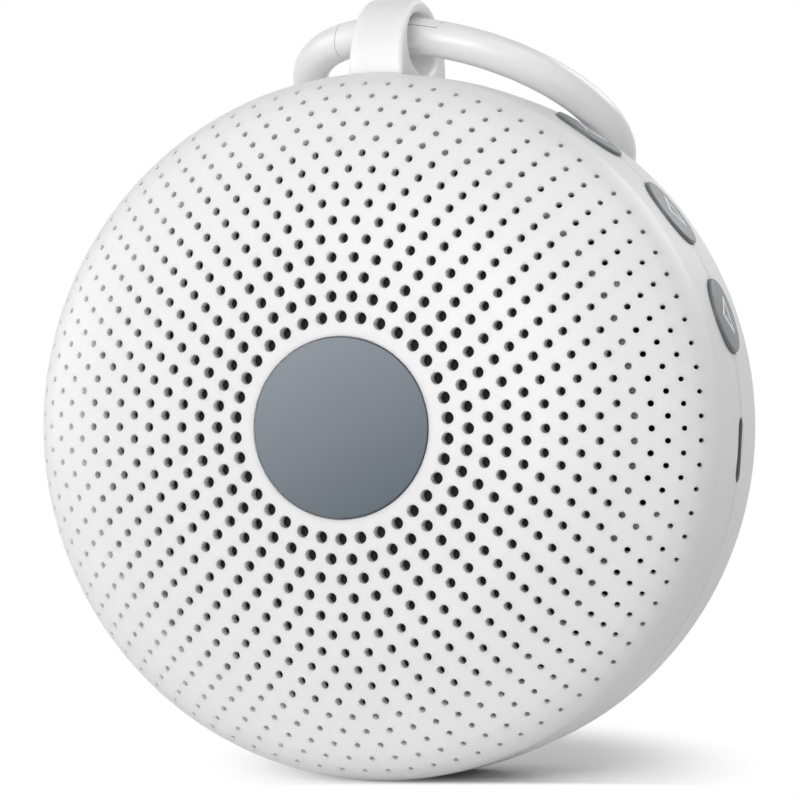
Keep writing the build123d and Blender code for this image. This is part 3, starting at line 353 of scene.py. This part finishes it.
def shade_inside(material, node, margin, colour):
    """Darkens the walls of the opening that this node stands in, where little light reaches."""
    low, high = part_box(node)
    outward = (low + high) / 2 - case_center
    lean = atan2(outward.z, outward.x)
    middle, half_size = leaning_box(node, lean)
    tree = material.node_tree
    place = tree.nodes["Texture Coordinate"].outputs["Object"]
    region = add_region(tree, place, middle, (0, -lean, 0), half_size + margin)
    away = tree.nodes.new("ShaderNodeVectorMath")
    away.operation = "ABSOLUTE"
    tree.links.new(region, away.inputs[0])
    x, y, z = add_parts(tree, away.outputs["Vector"])
    largest = add_math(tree, "MAXIMUM", add_math(tree, "MAXIMUM", x, y), z)
    base = tree.nodes["Principled BSDF"].inputs["Base Color"]
    mix = tree.nodes.new("ShaderNodeMix")
    mix.data_type = "RGBA"
    tree.links.new(add_math(tree, "LESS_THAN", largest, 1), mix.inputs["Factor"])
    tree.links.new(base.links[0].from_socket, mix.inputs["A"])
    mix.inputs["B"].default_value = (*colour, 1)
    tree.links.new(mix.outputs["Result"], base)
    return lean


opening_lean = shade_inside(finishes["white_case"], "inlet_shell", opening_margin, opening_tone)
print("the opening leans by", round(opening_lean * 180 / pi, 1), "degrees")

# %% [markdown]
# ## Every piece gets its finish
# Nearly every piece takes its slot's finish. Two steel ones don't: the ends of the gate's pin are white like
# the ring round them, and the inlet's shell is a darker steel, painted shade for the dark deep in the slot.
# Slots of their own would do it too, but a finish says how a piece looks and its slot what it is made of. So
# the finishes that belong to one piece stand in a short list that is looked up first.

# %% Hand out the finishes
own_finish = {
    "gate_pin": finishes["white_clip"],
    # painted shade: the inlet's shell is made dark to stand for the shade deep in the inlet
    "inlet_shell": moulded("inlet_shell_painted_shade", (0.10, 0.10, 0.105), 0.03, 0.38, 2500, 0.002 * mm, metallic=1.0),
}
slot_of = {row["node"]: row["material_slot"] for row in frame["record"]["subparts"]}
for node, piece in frame["nodes"].items():
    piece.data.materials.clear()
    piece.data.materials.append(own_finish.get(node, finishes[slot_of[node]]))
print("finished", len(slot_of), "nodes from", len(set(slot_of.values())), "slots")

# %% [markdown]
# ## The signs on the buttons
# Each button carries a thin white triangle, printed as an outline, with its blunt point toward the front. A
# three-sided circle, squashed along its point, is rounded with a vertex bevel, inset to a narrow band and
# thickened a little, so that it is real ink on the cap. It then sinks to follow the cap's slight crown.

# %% Printed ink
ink = moulded("white_ink", (0.95, 0.95, 0.95), 0.01, 0.45, 3000, 0.002 * mm)
cap_crown = 0.2 * mm
cap_face_radius = 5.1 * mm
crown_radius = (cap_face_radius**2 + cap_crown**2) / (2 * cap_crown)
sign_base = 5.9 * mm
sign_height = 3.8 * mm
sign_tip = 2.45 * mm        # from the middle of the cap to the point, before it is rounded
sign_corner = 0.35 * mm
sign_corner_steps = 5
sign_line = 0.42 * mm
line_cuts = 4               # so that the band has enough points to follow the crown
ink_height = 0.03 * mm
ink_sunk = ink_height / 4


def cap_top(node, outward, to_front):
    """The middle of a cap's face, measured on its mesh."""
    place = Vector((0, 0, 0))
    for direction in (to_front, outward.cross(to_front)):
        start, stop = span(node, direction)
        place += direction * (start + stop) / 2
    return place + outward * span(node, outward)[1]


# %% The outline of a sign
def triangle_band():
    """A flat triangle outline in a bmesh, with its point along X and the cap's middle at the origin."""
    mesh = bmesh.new()
    even_radius = sign_base / sqrt(3)
    even_height = 1.5 * even_radius
    bmesh.ops.create_circle(mesh, cap_ends=True, segments=3, radius=even_radius)
    mesh.verts.ensure_lookup_table()
    tip = mesh.verts[0].co
    bmesh.ops.rotate(mesh, verts=mesh.verts[:], matrix=Matrix.Rotation(-atan2(tip.y, tip.x), 3, "Z"))
    bmesh.ops.scale(mesh, verts=mesh.verts[:], vec=(sign_height / even_height, 1, 1))
    reach = max(corner.co.x for corner in mesh.verts)
    bmesh.ops.translate(mesh, verts=mesh.verts[:], vec=(sign_tip - reach, 0, 0))
    bmesh.ops.bevel(
        mesh, geom=mesh.verts[:], offset=sign_corner, segments=sign_corner_steps, profile=0.5,
        affect="VERTICES", material=-1
    )
    inset = bmesh.ops.inset_individual(mesh, faces=mesh.faces[:], thickness=sign_line, use_even_offset=True)
    band = set(inset["faces"])
    bmesh.ops.delete(mesh, geom=[face for face in mesh.faces if face not in band], context="FACES_ONLY")
    bmesh.ops.subdivide_edges(mesh, edges=mesh.edges[:], cuts=line_cuts, use_grid_fill=True)
    return mesh


# %% The ink on a cap
def make_sign(name, node, outward):
    """A triangle outline lying on this cap, whose axis points outward."""
    mesh = triangle_band()
    top = bmesh.ops.extrude_face_region(mesh, geom=mesh.faces[:])
    raised = [part for part in top["geom"] if isinstance(part, bmesh.types.BMVert)]
    bmesh.ops.translate(mesh, verts=raised, vec=(0, 0, ink_height))
    for corner in mesh.verts:
        corner.co.z -= (corner.co.x**2 + corner.co.y**2) / (2 * crown_radius) + ink_sunk
    bmesh.ops.recalc_face_normals(mesh, faces=mesh.faces[:])
    # the sign's own x axis runs along its point; the cap's face looks outward
    to_front = Vector((0, -1, 0))
    turn_sign = Matrix((to_front, outward.cross(to_front), outward)).transposed().to_4x4()
    place = Matrix.Translation(cap_top(node, outward, to_front))
    bmesh.ops.transform(mesh, matrix=place @ turn_sign, verts=mesh.verts[:])
    data = bpy.data.meshes.new(name)
    mesh.to_mesh(data)
    mesh.free()
    data.materials.append(ink)
    sign = bpy.data.objects.new(name, data)
    bpy.context.scene.collection.objects.link(sign)
    return sign


# %% One sign for each button
for joint in frame["joints"]:
    if not joint["name"].startswith("button_"):
        continue
    outward = -Vector(joint["axis"]).normalized()
    sign = make_sign(joint["child"] + "_sign", joint["child"].replace("button", "button_cap"), outward)
    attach(sign, joint["child"])
    print(sign.name, "faces", len(sign.data.polygons))

# %% [markdown]
# ## Floor and backdrop
# A white studio needs a pale floor that still takes the machine's shadow. Far from the machine the floor
# turns into plain white, so that it meets the white world without an edge. The part that takes the shadow is
# an oval, longer away from the camera than across, and cut shorter on the camera's side. White is shown only
# to rays that come straight from the camera, or by way of a mirror or a clear piece. The light that fills the
# room never sees it, so the floor and the world can be white without lighting the machine.

# %% Helpers for what is seen directly
def add_seen_directly(tree):
    """1 for rays from the camera or through a mirror or a clear piece, 0 for the light that fills a room."""
    path = tree.nodes.new("ShaderNodeLightPath")
    seen = path.outputs["Is Camera Ray"]
    for other in ("Is Glossy Ray", "Is Transmission Ray"):
        seen = add_math(tree, "MAXIMUM", seen, path.outputs[other])
    return seen


def add_blend(tree, share, usual, other):
    """The usual shader where the share is 0, and the other one where it is 1."""
    blend = tree.nodes.new("ShaderNodeMixShader")
    tree.links.new(share, blend.inputs["Fac"])
    tree.links.new(usual, blend.inputs[1])
    tree.links.new(other, blend.inputs[2])
    return blend.outputs["Shader"]


# %% Floor
floor_half_side = 3
floor_tone = (0.85, 0.85, 0.85)
floor_roughness = 0.9
shade_middle = Vector((6, 20, 0)) * mm
shade_reach = Vector((42, 75, 1000)) * mm   # across, away from the camera, and up, where a floor has nothing
shade_turn = atan2(camera_right.y, camera_right.x)
shade_start, shade_stop = 0.35, 1.0         # the floor turns white between these parts of that reach
front_start, front_stop = -0.42, -0.51      # and between these toward the camera


def floor_finish():
    """Pale and matt near the machine, plain white further out."""
    material, tree, shader, place = start_material("floor")
    shader.inputs["Base Color"].default_value = (*floor_tone, 1)
    shader.inputs["Roughness"].default_value = floor_roughness
    region = add_region(tree, place, shade_middle, (0, 0, shade_turn), shade_reach)
    distance = tree.nodes.new("ShaderNodeVectorMath")
    distance.operation = "LENGTH"
    tree.links.new(region, distance.inputs[0])
    far = add_range(tree, distance.outputs["Value"], 0, 1, shade_start, shade_stop, "SMOOTHSTEP")
    near_camera = add_range(tree, add_parts(tree, region)["Y"], 0, 1, front_start, front_stop, "SMOOTHSTEP")
    beyond = add_math(tree, "MAXIMUM", far, near_camera)
    share = add_math(tree, "MULTIPLY", beyond, add_seen_directly(tree))
    white = tree.nodes.new("ShaderNodeEmission")
    blend = add_blend(tree, share, shader.outputs["BSDF"], white.outputs["Emission"])
    tree.links.new(blend, tree.nodes["Material Output"].inputs["Surface"])
    return material


floor_mesh = bmesh.new()
bmesh.ops.create_grid(floor_mesh, x_segments=2, y_segments=2, size=floor_half_side)
floor_data = bpy.data.meshes.new("floor")
floor_mesh.to_mesh(floor_data)
floor_mesh.free()
floor_data.materials.append(floor_finish())
floor = bpy.data.objects.new("floor", floor_data)
bpy.context.scene.collection.objects.link(floor)
print("floor", [round(c, 2) for c in floor.dimensions], "m")

# %% World
room_strength = 0.15
backdrop_strength = 1

world = bpy.data.worlds.new("studio")
world.use_nodes = True
bpy.context.scene.world = world
sky = world.node_tree
room = sky.nodes["Background"]
backdrop = sky.nodes.new("ShaderNodeBackground")
for background, strength in ((room, room_strength), (backdrop, backdrop_strength)):
    background.inputs["Color"].default_value = (1, 1, 1, 1)
    background.inputs["Strength"].default_value = strength
seen = add_seen_directly(sky)
blend = add_blend(sky, seen, room.outputs["Background"], backdrop.outputs["Background"])
sky.links.new(blend, sky.nodes["World Output"].inputs["Surface"])
print("the room lights the machine at", room_strength, "and is seen at", backdrop_strength)

# %% [markdown]
# ## Lamps
# Large square soft boxes give broad soft shades, as in a product studio. A single sun would be simpler, and
# would cut hard shadows. Most of the light comes from low in front, so that the dome is even and the shadow
# falls behind the case. Two lamps light the sides, and one behind parts the ring and the loop from the
# backdrop. They stay at a level at which a colour comes out about as it is written.

# %% Lamps round the machine
lamp_distance = 1.2


def add_lamp(name, azimuth, elevation, size, watts):
    """A square soft box that looks at the machine: azimuth 0 is in front of it and 90 on its right."""
    around, above = azimuth * pi / 180, elevation * pi / 180
    direction = Vector((sin(around) * cos(above), -cos(around) * cos(above), sin(above)))
    data = bpy.data.lights.new(name, "AREA")
    data.size = size
    data.energy = watts
    lamp = bpy.data.objects.new(name, data)
    lamp.location = case_center + direction * lamp_distance
    lamp.rotation_euler = (case_center - lamp.location).to_track_quat("-Z", "Y").to_euler()
    bpy.context.scene.collection.objects.link(lamp)


add_lamp("key", azimuth=-42, elevation=22, size=0.9, watts=2.9)
add_lamp("front", azimuth=6, elevation=15, size=0.6, watts=5.4)
add_lamp("low front", azimuth=-6, elevation=-2, size=0.6, watts=6.4)
add_lamp("side", azimuth=78, elevation=50, size=0.6, watts=3.2)
add_lamp("left", azimuth=-90, elevation=12, size=0.6, watts=2.6)
add_lamp("rim", azimuth=150, elevation=30, size=0.5, watts=3.0)
print("lamps", len(bpy.data.lights))
